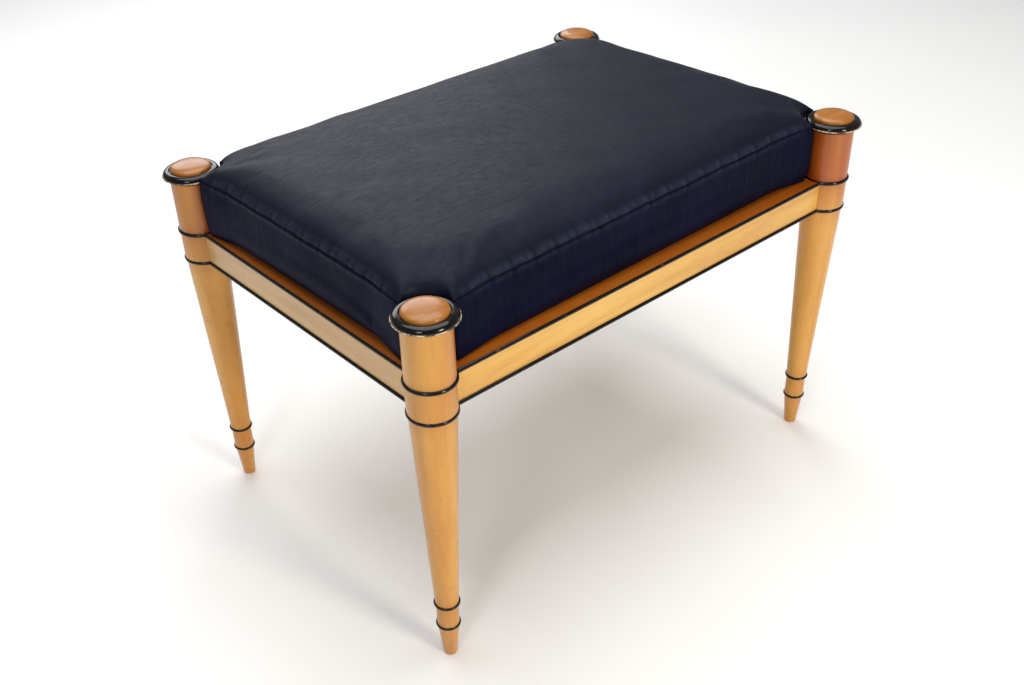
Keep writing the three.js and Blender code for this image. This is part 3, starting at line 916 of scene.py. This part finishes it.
def away_from_posts(co, start, fade):
    """0 for points within a distance of a post's axis, rising to 1 over a fade beyond it."""
    gap = post_distances(co)[1].min(1)
    return np.clip((gap - start) / fade, 0, 1)


def sew(obj):
    """Presses the seam and its row of stitches into the skin, with small puckers across them, and marks
    painted shade in the groove and a painted sheen on the bands beside it.
    """
    mesh = obj.data
    co = read_points(mesh)
    normals = read_points(mesh, key="normal")
    plain = away_from_posts(co, *STITCH_FADE)
    along_x = np.abs(normals[:, 0]) < np.abs(normals[:, 1])
    around = np.where(along_x, co[:, 0], co[:, 1] + 2.0)
    wander = SEAM_WANDER * plain * waves(around, 3, ((0.047, 1.0), (0.019, 0.6), (0.12, 0.8)))
    from_seam = read_values(mesh, "from_seam") + wander

    def bell(centre, width):
        """1 at a distance from the seam, falling off smoothly on both sides of it."""
        return np.exp(-(((from_seam - centre) / width) ** 2))

    pucker = waves(around, 5, ((0.016, 1.0), (0.0105, 0.9), (0.031, 0.9)))
    ripple = waves(around, 9, ((0.14, 1.0), (0.083, 0.8)))
    lift = sum(height * bell(centre, width) for height, centre, width in SEAM_RELIEF)
    lift *= 0.4 + 0.6 * plain
    lift += PUCKERS * pucker * bell(0.002, 0.007) * plain
    lift += SIDE_RIPPLES * ripple * bell(-0.02, 0.022)
    co += normals * lift[:, None]
    axes, gaps = post_distances(co)
    for k, axis in enumerate(axes):
        short = gaps[:, k] < CLEAR_OF_POST
        co[short, :2] = axis + (co[short, :2] - axis) * (CLEAR_OF_POST / gaps[short, k])[:, None]
    co[:, 2] = np.maximum(co[:, 2], SEAT_BOTTOM_Z)
    write_points(mesh, co)
    # Painted shade in the seam's groove and its row of stitches.
    seam_shade = bell(0.0, 0.0012) + 0.3 * bell(0.0058, 0.0009)
    set_attribute(obj, "seam_shade", np.clip(seam_shade, 0, 1) * (0.5 + 0.5 * plain))
    # Painted sheen on pale bands beside the seam, broken by the puckers.
    sheen_bands = 0.8 * bell(0.0030, 0.0022) + 0.5 * bell(-0.004, 0.004)
    set_attribute(obj, "seam_sheen", np.clip(sheen_bands * (0.5 + 0.5 * pucker), 0, 1) * plain)


def make_seat(side, top):
    verts, faces, distance = seat_mesh()
    on_top = [int(min(distance[v] for v in face) >= 0) for face in faces]
    obj = mesh_object("cushion", [tuple(v) for v in verts], faces, [side, top], on_top, sharp=None)
    set_attribute(obj, "from_seam", distance)
    puff(obj, PUFF)
    subdivide(obj)
    sew(obj)
    finish_piece(obj, "seat", "seat_fabric", "seat_cover", "seat_foam")


# ---- Studio ----
FLOOR_HALF = 8
WORLD_STRENGTH = 0.24


def area_light(name, at, target, size, power, color=WHITE):
    light = bpy.data.lights.new(name, "AREA")
    light.shape = "RECTANGLE"
    light.size, light.size_y = size
    light.energy = power
    light.color = color
    obj = bpy.data.objects.new(name, light)
    obj.location = at
    obj.rotation_euler = (Vector(target) - Vector(at)).to_track_quat("-Z", "Y").to_euler()
    bpy.context.scene.collection.objects.link(obj)


def studio():
    corners = [(FLOOR_HALF * x, FLOOR_HALF * y, 0) for x, y in ((-1, -1), (1, -1), (1, 1), (-1, 1))]
    floor = mesh_object("floor", corners, [(0, 1, 2, 3)], [pale_floor()])
    world = bpy.data.worlds.new("studio")
    world.use_nodes = True
    background = world.node_tree.nodes["Background"]
    background.inputs["Color"].default_value = (*WHITE, 1.0)
    background.inputs["Strength"].default_value = WORLD_STRENGTH
    bpy.context.scene.world = world
    area_light("overhead", (0.2, 0.4, 3.2), (0.2, 0.4, 0), (3.0, 3.0), 92)
    area_light("key_left", (-1.9, -1.1, 1.5), (0, 0, 0.35), (0.5, 0.65), 9.5)
    area_light("key_right", (0.1, -2.5, 1.3), (0, 0, 0.35), (0.55, 0.75), 31, (1.0, 0.93, 0.80))
    area_light("back", (1.0, 2.6, 1.75), (0, 0, 0.45), (2.2, 1.2), 28)
    bpy.context.scene.view_settings.view_transform = "Standard"


def pale_floor():
    m = Nodes("pale_floor")
    cloud = m.noise(m.coords((1.5, 1.5, 1.5)), 1.0, 2.0)
    m.set(Base_Color=m.ramp(cloud, [(0.3, 0.90), (0.7, 0.93)]), Roughness=0.7)
    return m.material


def camera():
    yaw, down, roll = CAMERA_YAW, CAMERA_DOWN, CAMERA_ROLL
    ahead = Vector((math.sin(yaw) * math.cos(down), math.cos(yaw) * math.cos(down), -math.sin(down)))
    right = Vector((math.cos(yaw), -math.sin(yaw), 0))
    up = right.cross(ahead)
    rolled_right = math.cos(roll) * right + math.sin(roll) * up
    rolled_up = -math.sin(roll) * right + math.cos(roll) * up
    data = bpy.data.cameras.new("camera")
    data.lens = CAMERA_LENS_MM
    data.sensor_width = CAMERA_SENSOR_MM
    data.shift_x, data.shift_y = CAMERA_SHIFT
    obj = bpy.data.objects.new("camera", data)
    axes = Matrix((rolled_right, rolled_up, -ahead)).transposed()
    obj.matrix_world = Matrix.Translation(CAMERA_AT) @ axes.to_4x4()
    bpy.context.scene.collection.objects.link(obj)
    bpy.context.scene.camera = obj


def main():
    camera()
    studio()
    rim = worn_edge()
    for seed, corner in enumerate(CORNERS):
        make_leg(corner, seed + 1)
        make_collar(corner, rim)
        make_button(corner, seed + 5)
    dress_rails()
    for side in SIDES:
        for edge in ("top", "bottom"):
            make_rail_bead(side, edge)
    block = plain_wood("block_wood", "X", rgb(186, 150, 104), rgb(150, 112, 70))
    metal = screw_metal()
    for corner in CORNERS:
        dress(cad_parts[f"corner_block_{corner}"], block)
        for number in (1, 2):
            dress(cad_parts[f"block_screw_{corner}_{number}"], metal)
    dress(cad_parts["seat_board"], plain_wood("plywood", "X", rgb(204, 172, 122), rgb(168, 132, 86)))
    dress(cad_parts["dust_cloth"], dust_cloth_fabric())
    make_seat(side_cloth(), top_cloth())


main()
